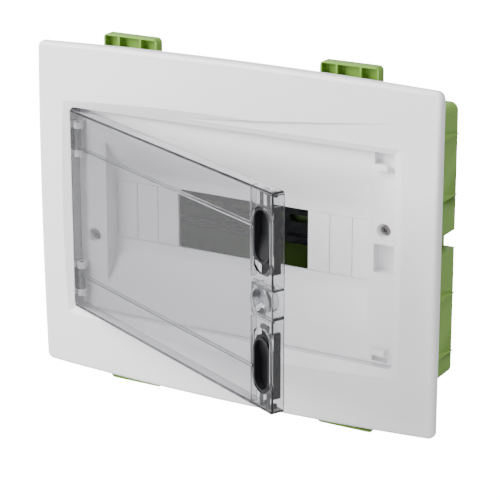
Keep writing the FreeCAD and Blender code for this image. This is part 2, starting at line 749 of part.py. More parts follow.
def make_blanking_plate(number, slot):
    """Snap-in plate that closes one unused module place; slot counts from the left, 0 to 11."""
    middle = "(%s - 5.5) * module_pitch" % slot
    name = "blanking_plate_%d" % number
    half = "blank_width / 2"
    pad = block(
        name + "_pad",
        ("%s - %s" % (middle, half), "%s + %s" % (middle, half)),
        ("recess_floor", "recess_floor + recess_wall + blank_sheet"),
        ("-window_half_height + 0.2", "window_half_height - 0.2"),
    )
    pad = rounded(
        name + "_soft", pad, "blank_edge",
        lambda edge: edge.BoundBox.YMax < VALUES["recess_floor"] + 0.01,
    )
    flange = block(
        name + "_flange",
        ("%s - %s" % (middle, half), "%s + %s" % (middle, half)),
        ("recess_floor + recess_wall", "recess_floor + recess_wall + blank_sheet"),
        ("-window_half_height - 2", "window_half_height + 2"),
    )
    hollow = block(
        name + "_hollow",
        ("%s - %s + 1.6" % (middle, half), "%s + %s - 1.6" % (middle, half)),
        ("recess_floor + 2.1", "recess_floor + 10"),
        ("-window_half_height + 2", "window_half_height - 2"),
    )
    return cut(name, join(name + "_body", [pad, flange]), [hollow])


def make_cover_screws():
    """Two screws through the cover's cups into the box pillars."""
    made = []
    for sign, word in ((-1, "left"), (1, "right")):
        spot = (signed(sign, "screw_across"), signed(sign, "screw_height"))
        made.append(cross_screw("cover_screw_" + word, spot, "screw_seat", "2.1", "screw_head_radius", "28"))
    return group("cover_screws", made)


# ---------------------------------------------------------------- module rail

def make_din_rail():
    """35 mm top-hat rail with a row of slots."""
    back = "rail_front + rail_depth"
    length = ("-rail_half_length", "rail_half_length")
    throat = "rail_half_width - rail_lip"
    pieces = [block(
        "rail_base", length, (back + " - rail_sheet", back),
        ("-(%s) - rail_sheet" % throat, "%s + rail_sheet" % throat),
    )]
    for high, word in ((1, "upper"), (-1, "lower")):
        pieces.append(block(
            "rail_web_" + word, length, ("rail_front", back),
            both(high, throat, throat + " + rail_sheet"),
        ))
        pieces.append(block(
            "rail_lip_" + word, length, ("rail_front", "rail_front + rail_sheet"),
            both(high, throat, "rail_half_width"),
        ))
    slots = []
    for count in range(9):
        middle = (count - 4) * 25
        radius = 2.7
        span = ("rail_front + 5", back + " + 1")
        name = "rail_slot_%d" % (count + 1)
        if abs(middle) == 100:
            continue
        slots.append(block(
            name + "_middle",
            (str(middle - 6), str(middle + 6)), span, (str(-radius), str(radius)),
        ))
        for end in (-6, 6):
            slots.append(rod(
                "%s_end_%s" % (name, "left" if end < 0 else "right"), "y",
                (str(middle + end), "0"), str(radius), span,
            ))
    for sign, word in ((-1, "left"), (1, "right")):
        across = signed(sign, "rail_screw_across")
        slots.append(rod("rail_hole_" + word, "y", (across, "0"), "2.3", ("50", "60")))
    return cut("din_rail", join("rail_body", pieces), slots)


def make_rail_support(sign, word):
    """Black saddle pegged to the box that holds one end of the rail."""
    side = both(sign, "support_inner", "support_outer")
    back = "rail_front + rail_depth"
    wall = "box_back - box_wall"
    pieces = [block("support_base_" + word, side, (back, wall), ("-22", "22"))]
    for high, end in ((1, "upper"), (-1, "lower")):
        pieces.append(block(
            "support_arm_%s_%s" % (word, end), side, ("rail_front - 2.4", wall),
            both(high, "rail_half_width + 0.3", "rail_half_width + 3"),
        ))
        pieces.append(block(
            "support_lip_%s_%s" % (word, end), side, ("rail_front - 2.4", "rail_front - 0.2"),
            both(high, "rail_half_width - 2", "rail_half_width + 1"),
        ))
        pieces.append(rod(
            "support_peg_%s_%s" % (word, end), "y",
            (signed(sign, "support_inner + 9"), signed(high, "9")),
            "2.5", (wall + " - 1", "box_back - 0.4"),
        ))
    body = join("support_body_" + word, pieces)
    across = signed(sign, "rail_screw_across")
    hole = rod("support_hole_" + word, "y", (across, "0"), "2.1", ("50", wall + " + 1"))
    return cut("rail_support_" + word, body, [hole])


def make_rail_screws():
    """Two short screws that fix the rail to its supports."""
    made = []
    for sign, word in ((-1, "left"), (1, "right")):
        seat = "rail_front + rail_depth - rail_sheet"
        place_across = (signed(sign, "rail_screw_across"), "0")
        made.append(cross_screw("rail_screw_" + word, place_across, seat, "2.1", "3.6", "62"))
    return group("rail_screws", made)


# ---------------------------------------------------------------- door

def make_door_panel():
    """Smoked tray door with slots for the latches and a notch for the lock housing."""
    outer = block(
        "door_outer",
        ("door_left", "door_right"), ("door_front", "door_back"), ("-door_half", "door_half"),
    )
    front = VALUES["door_front"]
    left = VALUES["door_left"]
    outer = rounded(
        "door_outer_corners", outer, "door_corner",
        lambda edge: along_depth(edge) and edge.CenterOfMass.x > 0,
    )
    outer = rounded(
        "door_hinge_edge", outer, "door_hinge_round",
        lambda edge: edge.BoundBox.XMax < left + 0.01 and edge.BoundBox.YMax < front + 0.01,
    )
    outer = rounded(
        "door_outer_soft", outer, "door_edge_round",
        lambda edge: edge.BoundBox.YMax < front + 0.01 and edge.BoundBox.XMax > left + 4,
    )
    inner = block(
        "door_inner",
        ("door_left + door_wall", "door_right - door_wall"),
        ("door_front + door_wall", "door_back + 1"),
        ("-door_half + door_wall", "door_half - door_wall"),
    )
    low_wall = block(
        "door_low_wall",
        ("door_left - 1", "door_left + door_wall + 0.1"),
        ("door_back - 1.2", "door_back + 1"),
        ("-door_half + door_wall", "door_half - door_wall"),
    )
    tray = cut("door_tray", outer, [inner, low_wall])
    face = "door_front + door_wall"
    added = [tray]
    for high, word in ((1, "upper"), (-1, "lower")):
        added.append(block(
            "door_rib_" + word,
            ("-126", "latch_middle - 13.3"), (face + " - 0.5", face + " + 2.4"),
            both(high, "door_rib_height - 0.8", "door_rib_height + 0.8"),
        ))
        added += latch_guides(high, word)
        added += hinge_knuckle(high, word)
    solid = join("door_solid", added)
    taken = [block(
        "door_notch",
        ("latch_middle - 10.7", "door_right + 1"), ("door_front - 1", "door_back + 1"),
        ("-lock_half - 0.2", "lock_half + 0.2"),
    )]
    for high, word in ((1, "upper"), (-1, "lower")):
        taken.append(stadium(
            "door_slot_" + word, "latch_middle", both(high, "latch_slot_low", "latch_slot_high"),
            "latch_slot_radius", ("door_front - 1", "door_front + door_wall + 0.2"),
        ))
        for end, start, stop in (("inner", "-hinge_hook_outer - 0.5", "-hinge_hook_inner + 0.4"),
                                 ("outer", "hinge_hook_inner - 0.4", "hinge_hook_outer + 0.5")):
            taken.append(block(
                "door_hook_gap_%s_%s" % (word, end),
                ("door_left - 1", "door_left + door_wall + 0.2"), ("door_front + door_wall", "door_back + 1"),
                both(high, "hinge_height + " + start, "hinge_height + " + stop),
            ))
        taken.append(rod(
            "door_pin_hole_" + word, "z", ("hinge_across", "hinge_depth"), "hinge_pin_radius",
            both(high, "hinge_height - hinge_hook_outer", "hinge_height + hinge_hook_outer"),
        ))
    return swing(cut("door_panel", solid, taken))


def hinge_knuckle(high, word):
    """Knuckle between the two hooks: a tube on a web inside the door's hinge edge."""
    half = "hinge_hook_inner - 0.4"
    span = both(high, "hinge_height - (%s)" % half, "hinge_height + %s" % half)
    tube = rod("knuckle_tube_" + word, "z", ("hinge_across", "hinge_depth"), "hinge_knuckle_radius", span)
    web = block(
        "knuckle_web_" + word,
        ("door_left + 1", "hinge_across + 1.5"), ("door_front + 1", "hinge_depth - 1.2"), span,
    )
    return [tube, web]


def latch_guides(high, word):
    """Rail inside the door that keeps one latch against the face."""
    face = "door_front + door_wall"
    wall = block(
        "guide_wall_" + word, ("latch_middle - 13.3", "latch_middle - 11.7"),
        (face + " - 0.5", "-3.4"), both(high, "lock_half + 3.5", "door_half - 1"),
    )
    lip = block(
        "guide_lip_" + word, ("latch_middle - 12", "latch_middle - 9.6"),
        ("latch_plate_back + 0.3", "-3.4"), both(high, "28", "60"),
    )
    return [wall, lip]


def make_latch(high, word):
    """Sliding latch: thumb pad in the door's slot, a flange and a flank behind it, and two hooks."""
    name = "latch_" + word
    pad = stadium(
        name + "_pad", "latch_middle", both(high, "latch_pad_low", "latch_pad_high"),
        "latch_pad_radius", ("door_front + 0.3", "latch_plate_back"),
    )
    flange = stadium(
        name + "_flange", "latch_middle", both(high, "latch_pad_low - 1.8", "latch_pad_high + 1.8"),
        "latch_pad_radius + 1.7", ("latch_plate_front", "latch_plate_back"),
    )
    cup = stadium(
        name + "_cup", "latch_middle", both(high, "latch_pad_low + 0.5", "latch_pad_high - 0.5"),
        "latch_pad_radius - 0.5", ("latch_plate_back - 0.5", "latch_cup_back"),
    )
    flank = block(
        name + "_flank", ("latch_middle + 8.4", "latch_middle + 11"),
        ("latch_plate_front", "-1.4"), both(high, "20.5", "67"),
    )
    stay = block(
        name + "_stay", ("latch_middle - 4", "latch_middle + 4"),
        ("latch_plate_back - 0.5", "-3.6"), both(high, "17.5", "31"),
    )
    pieces = [pad, flange, cup, flank, stay]
    for side, end in ((-5, "inner"), (3, "outer")):
        across = ("catch_middle + (%s)" % side, "catch_middle + (%s) + 2.4" % side)
        pieces.append(block(
            "%s_strip_%s" % (name, end), across,
            ("latch_plate_front", "latch_plate_back"), both(high, "55", "latch_arm_high"),
        ))
        pieces.append(block(
            "%s_arm_%s" % (name, end), across,
            ("latch_plate_front", "latch_nose_back"), both(high, "latch_arm_low", "latch_arm_high"),
        ))
        pieces.append(block(
            "%s_nose_%s" % (name, end), across,
            ("latch_nose_front", "latch_nose_back"), both(high, "latch_nose_low", "latch_arm_low + 0.5"),
        ))
    body = join(name + "_body", pieces)
    opening = stadium(
        name + "_opening", "latch_middle", both(high, "latch_pad_low + 1.6", "latch_pad_high - 1.6"),
        "latch_pad_radius - 1.6", ("door_front - 1", "latch_cup_back - 1.2"),
    )
    # The thumb dish is deepest at the outer end and runs out towards the inner end.
    shallow = "door_front + 1.2"
    ends = both(high, "latch_pad_low - 2", "latch_pad_high + 2")
    near = ("latch_middle - 12", "latch_middle + 12") + ends
    if high > 0:
        far = ("latch_middle - 12", "latch_middle + 12", "latch_pad_high - 20", ends[1])
    else:
        far = ("latch_middle - 12", "latch_middle + 12", ends[0], "-latch_pad_high + 20")
    ramp = wedge(name + "_ramp", (shallow, "latch_cup_back - 1.2"), near, far)
    top = block(name + "_top", near[:2], ("door_front - 1", shallow), ends)
    dish = shared(name + "_dish", [opening, join(name + "_dish_depth", [ramp, top])])
    return swing(cut(name, body, [dish]))


def make_lock_housing():
    """Clear box that closes the notch in the door and holds the lock plug."""
    side = ("latch_middle - 10.5", "door_right")
    shell = block("housing_shell", side, ("door_front", "door_back"), ("-lock_half", "lock_half"))
    flange = block(
        "housing_flange", ("latch_middle - 10.5", "door_right - door_wall - 0.3"),
        ("door_front + door_wall + 0.1", "door_front + door_wall + 1.3"),
        ("-lock_half - 2.5", "lock_half + 2.5"),
    )
    room = block(
        "housing_room",
        ("latch_middle - 10.5 + 1.6", "door_right - 1.6"), ("door_front + 1.6", "door_back + 1"),
        ("-lock_half + 1.6", "lock_half - 1.6"),
    )
    hole = rod("housing_hole", "y", ("latch_middle", "0"), "lock_hole_radius", ("door_front - 1", "-6"))
    return swing(cut("lock_housing", join("housing_body", [shell, flange]), [room, hole]))


def make_lock_plug():
    """Clear round plug that fills the lock hole until a lock is fitted."""
    spot = ("latch_middle", "0")
    crown = cone("plug_crown", spot, ("lock_plug_radius - 1", "lock_plug_radius"),
                 ("door_front - 0.9", "door_front + 0.1"))
    drum = rod("plug_drum", "y", spot, "lock_plug_radius", ("door_front + 0.1", "door_front + 3.4"))
    stem = rod("plug_stem", "y", spot, "lock_plug_radius - 2.4", ("door_front + 3", "-1.2"))
    dent = cone("plug_dent", spot, ("lock_plug_radius - 2.2", "lock_plug_radius - 3.8"),
                ("door_front - 1", "door_front + 1.2"))
    room = rod("plug_room", "y", spot, "lock_plug_radius - 3.8", ("door_front + 3.2", "0"))
    return swing(cut("lock_plug", join("plug_body", [crown, drum, stem]), [dent, room]))


def make_hinge_pin(high, word):
    """Steel pin through the door's knuckle and the cover's two hooks."""
    pin = rod("hinge_pin_" + word, "z", ("hinge_across", "hinge_depth"), "hinge_pin_radius",
              both(high, "hinge_height - hinge_hook_outer", "hinge_height + hinge_hook_outer"))
    return swing(pin)


def swing(piece):
    """Turns a piece drawn with the door shut to the open rest position, about the hinge axis."""
    piece.Label = "closed_" + piece.Name
    turned = group("swung_" + piece.Name, [piece])
    angle = "door_rest_angle"
    turned.Placement = FreeCAD.Placement(
        FreeCAD.Vector(), FreeCAD.Rotation(FreeCAD.Vector(0, 0, -1), VALUES[angle])
    )
    bind(turned, "Placement.Rotation.Angle", angle)
    bind(turned, "Placement.Base.x",
         "hinge_across - (hinge_across * cos(door_rest_angle) + hinge_depth * sin(door_rest_angle))")
    bind(turned, "Placement.Base.y",
         "hinge_depth - (hinge_depth * cos(door_rest_angle) - hinge_across * sin(door_rest_angle))")
    return turned


# ---------------------------------------------------------------- assembly

def make_everything():
    """Every sub-part by its node name."""
    nodes = {
        "front_frame": make_front_frame(),
        "inner_cover": make_inner_cover(),
        "cover_screws": make_cover_screws(),
        "back_box": make_back_box(),
        "din_rail": make_din_rail(),
        "rail_support_left": make_rail_support(-1, "left"),
        "rail_support_right": make_rail_support(1, "right"),
        "rail_screws": make_rail_screws(),
        "clamp_screws": make_clamp_screws(),
        "door_panel": make_door_panel(),
        "hinge_pin_upper": make_hinge_pin(1, "upper"),
        "hinge_pin_lower": make_hinge_pin(-1, "lower"),
        "latch_upper": make_latch(1, "upper"),
        "latch_lower": make_latch(-1, "lower"),
        "lock_housing": make_lock_housing(),
        "lock_plug": make_lock_plug(),
    }
    for number, slot in enumerate((0, 1, 2, 9, 10, 11), 1):
        nodes["blanking_plate_%d" % number] = make_blanking_plate(number, slot)
    for across, high, word in clamp_places():
        nodes["clamp_" + word] = make_clamp(across, high, word)
    return nodes


def export_everything(nodes):
    os.makedirs("parts", exist_ok=True)
    for name, node in nodes.items():
        node.Label = name
        shape = node.Shape
        if shape.isNull() or not shape.isValid():
            raise ValueError("bad shape: " + name)
        shape.exportStep("parts/%s.step" % name)
        box = shape.BoundBox
        print("%-22s solids %d  X %.1f..%.1f  Y %.1f..%.1f  Z %.1f..%.1f  %.0f mm3" % (
            name, len(shape.Solids), box.XMin, box.XMax, box.YMin, box.YMax,
            box.ZMin, box.ZMax, shape.Volume,
        ))


assembly = make_everything()
document.recompute()
for thing in document.Objects:
    if "Invalid" in thing.State or "Error" in thing.State:
        raise ValueError("%s: %s" % (thing.Name, thing.State))
export_everything(assembly)
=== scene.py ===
# %% [markdown]
# # Recessed breaker panel box
# A white domed frame sits on the wall, a smoked door swings on its left side, and a green
# box with four clamps disappears into the wall behind it. The exact frame comes from CAD.
# This lesson dresses it: it rebuilds the pieces whose charm is in soft edges and small
# marks, and gives every surface a finish made of nodes.

# %% Load the frame
import json
import math
import bpy
import bmesh
from mathutils import Matrix, Vector

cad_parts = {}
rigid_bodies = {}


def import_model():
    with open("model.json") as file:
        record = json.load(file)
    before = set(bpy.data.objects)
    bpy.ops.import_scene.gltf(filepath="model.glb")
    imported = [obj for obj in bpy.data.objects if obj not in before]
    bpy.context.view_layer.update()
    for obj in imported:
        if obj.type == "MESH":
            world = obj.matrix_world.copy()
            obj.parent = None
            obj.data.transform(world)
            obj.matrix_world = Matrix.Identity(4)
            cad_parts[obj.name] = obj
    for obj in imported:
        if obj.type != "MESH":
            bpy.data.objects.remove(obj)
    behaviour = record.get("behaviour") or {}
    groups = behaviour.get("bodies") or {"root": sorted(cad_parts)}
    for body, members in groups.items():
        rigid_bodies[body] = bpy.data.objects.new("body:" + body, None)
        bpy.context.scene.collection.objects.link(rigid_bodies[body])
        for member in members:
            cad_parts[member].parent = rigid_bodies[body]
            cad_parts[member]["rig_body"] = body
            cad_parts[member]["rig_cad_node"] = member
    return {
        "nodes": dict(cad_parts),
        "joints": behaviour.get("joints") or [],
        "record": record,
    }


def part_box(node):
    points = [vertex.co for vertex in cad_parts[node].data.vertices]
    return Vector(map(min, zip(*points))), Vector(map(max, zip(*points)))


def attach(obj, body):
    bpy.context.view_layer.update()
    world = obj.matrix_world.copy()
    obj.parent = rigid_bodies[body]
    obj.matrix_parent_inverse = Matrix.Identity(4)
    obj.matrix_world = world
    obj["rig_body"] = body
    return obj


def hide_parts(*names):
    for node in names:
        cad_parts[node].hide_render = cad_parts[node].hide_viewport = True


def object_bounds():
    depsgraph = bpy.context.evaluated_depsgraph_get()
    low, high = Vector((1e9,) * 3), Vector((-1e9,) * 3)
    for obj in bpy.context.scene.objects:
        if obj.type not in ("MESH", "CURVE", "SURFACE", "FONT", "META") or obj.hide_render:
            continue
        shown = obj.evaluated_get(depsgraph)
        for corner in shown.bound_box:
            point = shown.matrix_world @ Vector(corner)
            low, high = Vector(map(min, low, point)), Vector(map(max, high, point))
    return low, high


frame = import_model()
nodes = frame["nodes"]
cad_low, cad_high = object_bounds()
print("frame:", len(nodes), "nodes, size", [round(v, 3) for v in cad_high - cad_low])

# %% [markdown]
# ## Camera
# The box is seen from its upper right, a little above the wall's centre. A long lens keeps
# the sides nearly parallel. The camera's place, its three angles (yaw to the side, pitch
# down and a hair of roll) and its lens were found beforehand by a least-squares fit, and
# are written here as fixed numbers.

# %% Camera
CAMERA_PLACE = Vector((0.7408, -1.2634, 0.4675))
CAMERA_YAW = 0.5220
CAMERA_PITCH = 0.3167
CAMERA_ROLL = -0.0013
LENS_MM = 152.2
camera_data = bpy.data.cameras.new("camera")
camera_data.sensor_width = 36.0
camera_data.lens = LENS_MM
camera = bpy.data.objects.new("camera", camera_data)
bpy.context.scene.collection.objects.link(camera)
forward = Vector((-math.sin(CAMERA_YAW) * math.cos(CAMERA_PITCH),
                  math.cos(CAMERA_YAW) * math.cos(CAMERA_PITCH),
                  -math.sin(CAMERA_PITCH)))
turn = forward.to_track_quat("-Z", "Y").to_matrix().to_4x4()
camera.matrix_world = Matrix.Translation(CAMERA_PLACE) @ turn @ Matrix.Rotation(CAMERA_ROLL, 4, "Z")
bpy.context.scene.camera = camera
print("camera stands", round(CAMERA_PLACE.length, 3), "m from the wall's centre")

# %% [markdown]
# ## Light and floor
# A plain studio, bright as a white sweep. The key lamp stands to the left and in front, so
# the frame fades gently from left to right. A small lamp above and one in front, low down,
# lift the upper edges and the whites below, and a pale world fills the shadows. The floor
# is white and looks brighter to the eye than it shines on the object, which is how a lit
# backdrop is kept clean: its extra glow counts only for rays straight from the camera.

# %% Light and floor
def soft_lamp(name, place, aim, size, power):
    """A square area lamp at place that looks at aim."""
    data = bpy.data.lights.new(name, "AREA")
    data.shape = "SQUARE"
    data.size = size
    data.energy = power
    lamp = bpy.data.objects.new(name, data)
    bpy.context.scene.collection.objects.link(lamp)
    look = (Vector(aim) - Vector(place)).to_track_quat("-Z", "Y").to_matrix().to_4x4()
    lamp.matrix_world = Matrix.Translation(Vector(place)) @ look
    return lamp


soft_lamp("key", (-0.80, -0.95, 0.75), (0, 0, 0), 1.1, 56)
soft_lamp("top", (0.5, 0.1, 1.7), (0.05, 0.0, 0), 0.8, 9)
soft_lamp("low_fill", (0.45, -1.5, 0.05), (0.05, 0, -0.06), 0.8, 9)
WORLD_STRENGTH = 0.86
BACKDROP_GLOW = 16.0
world = bpy.data.worlds.new("studio")
world.use_nodes = True
background = world.node_tree.nodes["Background"]
background.inputs["Color"].default_value = (0.98, 0.985, 1.0, 1)
sky_ray = world.node_tree.nodes.new("ShaderNodeLightPath")
sky_glow = world.node_tree.nodes.new("ShaderNodeMath")
sky_glow.operation = "MULTIPLY_ADD"
sky_glow.inputs[1].default_value = BACKDROP_GLOW
sky_glow.inputs[2].default_value = WORLD_STRENGTH
world.node_tree.links.new(sky_ray.outputs["Is Camera Ray"], sky_glow.inputs[0])
world.node_tree.links.new(sky_glow.outputs[0], background.inputs["Strength"])
bpy.context.scene.world = world

floor_level = cad_low.z - 0.012
bpy.ops.object.select_all(action="DESELECT")
bpy.ops.mesh.primitive_plane_add(size=12, location=(0, 0, floor_level))
floor = bpy.context.object
floor.name = "floor"
backdrop = bpy.data.materials.new("backdrop_white")
backdrop.use_nodes = True
backdrop_shader = backdrop.node_tree.nodes["Principled BSDF"]
backdrop_shader.inputs["Base Color"].default_value = (0.46, 0.46, 0.46, 1)
backdrop_shader.inputs["Roughness"].default_value = 0.8
backdrop_shader.inputs["Emission Color"].default_value = (1, 1, 1, 1)
seen = backdrop.node_tree.nodes.new("ShaderNodeLightPath")
glow = backdrop.node_tree.nodes.new("ShaderNodeMath")
glow.operation = "MULTIPLY"
glow.inputs[1].default_value = BACKDROP_GLOW
backdrop.node_tree.links.new(seen.outputs["Is Camera Ray"], glow.inputs[0])
backdrop.node_tree.links.new(glow.outputs[0], backdrop_shader.inputs["Emission Strength"])
floor.data.materials.append(backdrop)
print("floor at", round(floor_level, 3))

# %% [markdown]
# ## Finishes
# Each finish is a Principled shader with a little procedural unevenness. Moulded plastic
# is never one flat colour: it has a fine skin texture, slow changes of gloss where the
# mould filled, and edges that catch the light.

# %% Shared effect: moulded skin
def make_group(name, inputs, outputs):
    """A new shader node group with named sockets; inputs are (name, kind, default)."""
    group = bpy.data.node_groups.new(name, "ShaderNodeTree")
    for label, kind, value in inputs:
        socket = group.interface.new_socket(label, in_out="INPUT", socket_type=kind)
        socket.default_value = value
    for label, kind in outputs:
        group.interface.new_socket(label, in_out="OUTPUT", socket_type=kind)
    return group, group.nodes.new("NodeGroupInput"), group.nodes.new("NodeGroupOutput")


def add_node(tree, kind, values=None, **settings):
    """A node with settings and with values for its input sockets."""
    node = tree.nodes.new(kind)
    for key, value in settings.items():
        setattr(node, key, value)
    for key, value in (values or {}).items():
        node.inputs[key].default_value = value
    return node


def moulded_skin_group():
    """Fine spark-eroded grain, slow gloss clouds and a faint colour drift."""
    group, start, end = make_group(
        "moulded_skin",
        [("Grain Size", "NodeSocketFloat", 900.0), ("Cloud Size", "NodeSocketFloat", 14.0),
         ("Roughness", "NodeSocketFloat", 0.35), ("Roughness Spread", "NodeSocketFloat", 0.08),
         ("Dark", "NodeSocketColor", (0.7, 0.7, 0.7, 1)),
         ("Light", "NodeSocketColor", (0.8, 0.8, 0.8, 1))],
        [("Color", "NodeSocketColor"), ("Roughness", "NodeSocketFloat"), ("Height", "NodeSocketFloat")],
    )
    place = add_node(group, "ShaderNodeTexCoord")
    clouds = add_node(group, "ShaderNodeTexNoise", {"Detail": 3.0, "Roughness": 0.55})
    grain = add_node(group, "ShaderNodeTexNoise", {"Detail": 2.0, "Roughness": 0.6})
    mix = add_node(group, "ShaderNodeMix", data_type="RGBA")
    spread = add_node(group, "ShaderNodeMath", operation="SUBTRACT")
    spread.inputs[1].default_value = 0.5
    times = add_node(group, "ShaderNodeMath", operation="MULTIPLY")
    total = add_node(group, "ShaderNodeMath", operation="ADD")
    link = group.links.new
    link(place.outputs["Object"], clouds.inputs["Vector"])
    link(place.outputs["Object"], grain.inputs["Vector"])
    link(start.outputs["Cloud Size"], clouds.inputs["Scale"])
    link(start.outputs["Grain Size"], grain.inputs["Scale"])
    link(clouds.outputs["Fac"], mix.inputs["Factor"])
    link(start.outputs["Dark"], mix.inputs[6])
    link(start.outputs["Light"], mix.inputs[7])
    link(mix.outputs[2], end.inputs["Color"])
    link(clouds.outputs["Fac"], spread.inputs[0])
    link(spread.outputs[0], times.inputs[0])
    link(start.outputs["Roughness Spread"], times.inputs[1])
    link(times.outputs[0], total.inputs[0])
    link(start.outputs["Roughness"], total.inputs[1])
    link(total.outputs[0], end.inputs["Roughness"])
    link(grain.outputs["Fac"], end.inputs["Height"])
    return group


MOULDED_SKIN = moulded_skin_group()
print("group:", MOULDED_SKIN.name)


# %% Plastic finishes
def plastic(name, dark, light, rough, spread=0.08, grain=900.0, bump=0.02, coat=0.0, cloud=14.0):
    """A moulded plastic that drifts between two close colours."""
    material = bpy.data.materials.new(name)
    material.use_nodes = True
    tree = material.node_tree
    shader = tree.nodes["Principled BSDF"]
    shader.inputs["IOR"].default_value = 1.49
    shader.inputs["Coat Weight"].default_value = coat
    skin = add_node(tree, "ShaderNodeGroup", node_tree=MOULDED_SKIN)
    skin.inputs["Grain Size"].default_value = grain
    skin.inputs["Cloud Size"].default_value = cloud
    skin.inputs["Roughness"].default_value = rough
    skin.inputs["Roughness Spread"].default_value = spread
    skin.inputs["Dark"].default_value = (*dark, 1)
    skin.inputs["Light"].default_value = (*light, 1)
    relief = add_node(tree, "ShaderNodeBump", {"Strength": bump, "Distance": 0.0004})
    tree.links.new(skin.outputs["Color"], shader.inputs["Base Color"])
    tree.links.new(skin.outputs["Roughness"], shader.inputs["Roughness"])
    tree.links.new(skin.outputs["Height"], relief.inputs["Height"])
    tree.links.new(relief.outputs["Normal"], shader.inputs["Normal"])
    return material


def see_through(name, tint, rough, density, absorbed, bump=0.01):
    """A clear or smoked plastic: light passes through, and is absorbed on its way by the
    wall's thickness, which is why the edges look darker than the faces."""
    material = plastic(name, [c * 0.98 for c in tint], tint, rough,
                       spread=0.03, grain=120.0, bump=bump, cloud=9.0)
    tree = material.node_tree
    tree.nodes["Principled BSDF"].inputs["Transmission Weight"].default_value = 1.0
    if density:
        depth = add_node(tree, "ShaderNodeVolumeAbsorption", {"Color": (*absorbed, 1), "Density": density})
        tree.links.new(depth.outputs["Volume"], tree.nodes["Material Output"].inputs["Volume"])
    return material


print("plastic recipes ready")


# %% Steel finish
def plated_steel(name, dark, light, rough):
    """Zinc-plated steel with a cloudy grain."""
    material = plastic(name, dark, light, rough, spread=0.2, grain=2500.0, bump=0.05, cloud=220.0)
    material.node_tree.nodes["Principled BSDF"].inputs["Metallic"].default_value = 1.0
    return material


# %% [markdown]
# Each finish gets a darker and a lighter colour, close together, and its own gloss. The
# smoked and clear plastics take their depth from absorption in the wall.

# %% Table of finishes
FINISHES = {
    "white_plastic": plastic("white_plastic", (0.77, 0.765, 0.78), (0.81, 0.805, 0.82), 0.3),
    "green_plastic": plastic("green_plastic", (0.140, 0.282, 0.036), (0.180, 0.336, 0.050), 0.42, bump=0.06),
    "smoked_clear": see_through(
        "smoked_clear", (0.975, 0.975, 0.985), 0.02, 125.0, (0.0, 0.0, 0.05), bump=0.003),
    "clear_plastic": see_through(
        "clear_plastic", (0.97, 0.975, 0.98), 0.02, 70.0, (0.0, 0.0, 0.04), bump=0.003),
    "frosted_clear": see_through(
        "frosted_clear", (0.93, 0.935, 0.945), 0.16, 150.0, (0.0, 0.0, 0.04), bump=0.01),
    "dark_grey_plastic": plastic(
        "dark_grey_plastic", (0.006, 0.006, 0.007), (0.011, 0.011, 0.013), 0.36, bump=0.05),
    "black_plastic": plastic("black_plastic", (0.012, 0.012, 0.013), (0.02, 0.02, 0.021), 0.5, bump=0.1),
    "steel": plated_steel("steel", (0.12, 0.115, 0.11), (0.26, 0.25, 0.24), 0.38),
    # The near-black steel is painted shade, made for the rail that sits in the box's dim inside.
    "dark_steel": plated_steel("dark_steel", (0.012, 0.012, 0.013), (0.03, 0.03, 0.032), 0.5),
}


print("finishes made:", len(FINISHES))

# %% [markdown]
# Shade is painted into the wall box's inside, standing in for the little light that reaches it
# through the window: its finish is multiplied by a small share between two corners, so the outside keeps its
# green.

# %% Paint shade into the inside and give out the finishes
def paint_shade_inside(material, low, high, share):
    """Multiplies a finish by share between two corners: painted shade on the inside of a box."""
    tree = material.node_tree
    shader = tree.nodes["Principled BSDF"]
    source = shader.inputs["Base Color"].links[0].from_socket
    place = add_node(tree, "ShaderNodeTexCoord")
    split = add_node(tree, "ShaderNodeSeparateXYZ")
    tree.links.new(place.outputs["Object"], split.inputs[0])
    inside = None
    for axis in range(3):
        within = add_node(tree, "ShaderNodeMath", operation="COMPARE")
        tree.links.new(split.outputs[axis], within.inputs[0])
        within.inputs[1].default_value = (low[axis] + high[axis]) / 2
        within.inputs[2].default_value = (high[axis] - low[axis]) / 2
        if inside is None:
            inside = within.outputs[0]
            continue
        both = add_node(tree, "ShaderNodeMath", operation="MULTIPLY")
        tree.links.new(inside, both.inputs[0])
        tree.links.new(within.outputs[0], both.inputs[1])
        inside = both.outputs[0]
    shade = add_node(tree, "ShaderNodeMix", data_type="RGBA", blend_type="MULTIPLY")
    shade.inputs[7].default_value = (share, share, share, 1)
    tree.links.new(inside, shade.inputs["Factor"])
    tree.links.new(source, shade.inputs[6])
    tree.links.new(shade.outputs[2], shader.inputs["Base Color"])


INSIDE_LOW = (-0.135, 0.0, -0.1005)
INSIDE_HIGH = (0.135, 0.063, 0.1005)
PAINTED_SHADE_SHARE = 0.2
# Painted shade: the green inside the box is multiplied down to a fifth.
paint_shade_inside(FINISHES["green_plastic"], INSIDE_LOW, INSIDE_HIGH, PAINTED_SHADE_SHARE)
for name, level in (("dark_grey_plastic", 0.25), ("green_plastic", 0.3)):
    FINISHES[name].node_tree.nodes["Principled BSDF"].inputs["Specular IOR Level"].default_value = level
for subpart in frame["record"]["subparts"]:
    mesh = nodes[subpart["node"]].data
    mesh.materials.clear()
    # The rail takes the near-black steel: painted shade for the dim box, not the rail's own plated colour.
    finish = "dark_steel" if subpart["node"] == "din_rail" else subpart["material_slot"]
    mesh.materials.append(FINISHES[finish])
print("finishes:", sorted(FINISHES))

# %% [markdown]
# ## A small set of hand tools
# Everything below is shaped the way it would be by hand: pick a primitive, select faces or
# edges by where they are or which way they look, then extrude, inset or bevel them. These
# helpers keep those steps short. Nothing else may be selected while they work, so each
# one starts by clearing the selection.

# %% Hand tools: primitives
MM = 0.001
SHARP_ANGLE = 32


def only(piece):
    """Makes one piece the only selected and active one."""
    bpy.ops.object.select_all(action="DESELECT")
    piece.select_set(True)
    bpy.context.view_layer.objects.active = piece


